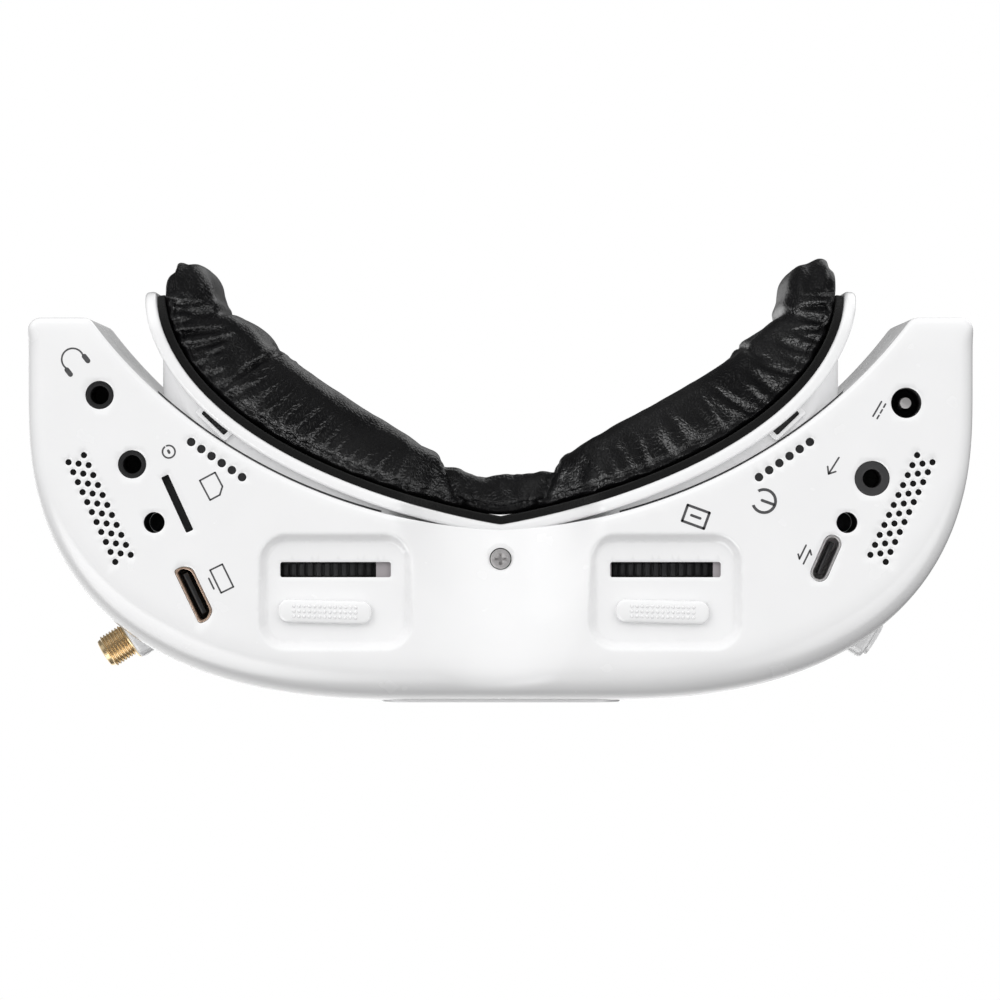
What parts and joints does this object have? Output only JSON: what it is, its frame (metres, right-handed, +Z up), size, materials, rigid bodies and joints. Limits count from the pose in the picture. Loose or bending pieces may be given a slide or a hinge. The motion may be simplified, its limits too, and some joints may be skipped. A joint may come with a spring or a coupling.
{
  "type": "video goggles",
  "caption": "Curved white video goggles for drone pilots, with a padded faceplate, sliding eyepieces, focus wheels, underside sockets and an aerial connector.",
  "frame": {"origin": "under the middle of the whole object, on the plane it rests on", "axes": "+Z up as worn, -Y is the front that faces away from the wearer, +X is the wearer's left"},
  "size_m": [0.1806, 0.0844, 0.06],
  "materials": {
    "casing_white": "glossy white moulding",
    "camera_glass": "dark smoked window",
    "light_lens": "frosted light lens",
    "hook_strip": "black hook strip",
    "leather": "black grained leather over foam",
    "bright_steel": "bright steel",
    "black_steel": "blackened steel",
    "black_plastic": "fine matt black",
    "ribbed_black": "ribbed matt black",
    "grey_plastic": "dark grey",
    "display_black": "dark glossy module",
    "circuit_board": "green board",
    "gold_plate": "gold plated",
    "insulator": "white insulator",
    "satin_metal": "satin metal",
    "lens_glass": "coated glass"
  },
  "bodies": {
    "casing": {"lower_shell": "casing_white", "upper_shell": "casing_white", "front_cover": "casing_white", "camera_window": "camera_glass", "status_light": "light_lens", "faceplate": "casing_white", "pad_backing": "hook_strip", "face_pad": "leather", "nose_screw": "bright_steel", "case_screws": "black_steel", "eye_rails": "bright_steel", "main_board": "circuit_board", "left_port_board": "circuit_board", "right_port_board": "circuit_board", "receiver_module": "bright_steel", "button_switches": "black_plastic", "antenna_connector": "gold_plate", "antenna_insulator": "insulator", "antenna_contact": "gold_plate", "antenna_blank": "casing_white", "headphone_jack": "black_plastic", "av_jack": "black_plastic", "tracker_jack": "grey_plastic", "power_jack": "black_plastic", "power_jack_pin": "bright_steel", "video_port": "gold_plate", "video_port_tongue": "black_plastic", "usb_port": "bright_steel", "usb_port_tongue": "black_plastic", "card_socket": "bright_steel", "left_speaker": "black_plastic", "right_speaker": "black_plastic", "fan_frame": "black_plastic", "side_wheel_axles": "bright_steel"},
    "left_eye": {"left_barrel": "black_plastic", "left_display": "display_black", "left_eye_slider": "casing_white"},
    "right_eye": {"right_barrel": "black_plastic", "right_display": "display_black", "right_eye_slider": "casing_white"},
    "left_wheel": {"left_focus_wheel": "ribbed_black"},
    "right_wheel": {"right_focus_wheel": "ribbed_black"},
    "left_cell": {"left_lens_cell": "black_plastic", "left_eyepiece_lens": "lens_glass", "left_lens_retainer": "black_plastic"},
    "right_cell": {"right_lens_cell": "black_plastic", "right_eyepiece_lens": "lens_glass", "right_lens_retainer": "black_plastic"},
    "fan": {"fan_rotor": "black_plastic"},
    "left_dial": {"left_side_wheel": "satin_metal"},
    "right_dial": {"right_side_wheel": "satin_metal"},
    "power_key": {"power_button": "black_plastic"},
    "record_key": {"record_button": "black_plastic"},
    "mode_key": {"mode_button": "black_plastic"},
    "menu_key": {"menu_button": "black_plastic"}
  },
  "joints": [
    {"name": "left_eye_slide", "type": "slide", "parent": "casing", "child": "left_eye", "axis": [1, 0, 0], "range_m": [-0.0041, 0.0019]},
    {"name": "right_eye_slide", "type": "slide", "parent": "casing", "child": "right_eye", "axis": [-1, 0, 0], "range_m": [-0.0015, 0.0045]},
    {"name": "left_focus_turn", "type": "hinge", "parent": "left_eye", "child": "left_wheel", "pos_m": [0.0335, -0.0165, 0.0255], "axis": [0, 1, 0], "range_deg": [-150, 150]},
    {"name": "right_focus_turn", "type": "hinge", "parent": "right_eye", "child": "right_wheel", "pos_m": [-0.0309, -0.0165, 0.0255], "axis": [0, 1, 0], "range_deg": [-150, 150]},
    {"name": "left_focus_travel", "type": "slide", "parent": "left_eye", "child": "left_cell", "axis": [0, 1, 0], "range_m": [-0.002, 0.002]},
    {"name": "right_focus_travel", "type": "slide", "parent": "right_eye", "child": "right_cell", "axis": [0, 1, 0], "range_m": [-0.002, 0.002]},
    {"name": "fan_spin", "type": "hinge", "parent": "casing", "child": "fan", "pos_m": [0, -0.0117, 0.037], "axis": [0, 1, 0], "continuous": true},
    {"name": "left_dial_turn", "type": "hinge", "parent": "casing", "child": "left_dial", "pos_m": [0.0776, -0.0136, 0.028], "axis": [0, 0, 1], "continuous": true},
    {"name": "right_dial_turn", "type": "hinge", "parent": "casing", "child": "right_dial", "pos_m": [-0.0776, -0.0136, 0.028], "axis": [0, 0, 1], "continuous": true},
    {"name": "power_press", "type": "slide", "parent": "casing", "child": "power_key", "axis": [0, 0, -1], "range_m": [0, 0.0006], "stiffness_N_per_m": 400},
    {"name": "record_press", "type": "slide", "parent": "casing", "child": "record_key", "axis": [0, 0, -1], "range_m": [0, 0.0006], "stiffness_N_per_m": 400},
    {"name": "mode_press", "type": "slide", "parent": "casing", "child": "mode_key", "axis": [0, 0, -1], "range_m": [0, 0.0006], "stiffness_N_per_m": 400},
    {"name": "menu_press", "type": "slide", "parent": "casing", "child": "menu_key", "axis": [0, 0, -1], "range_m": [0, 0.0006], "stiffness_N_per_m": 400}
  ],
  "couplings": [
    {"joint": "left_focus_travel", "follows": "left_focus_turn", "m_per_rad": 0.00076},
    {"joint": "right_focus_travel", "follows": "right_focus_turn", "m_per_rad": 0.00076}
  ]
}
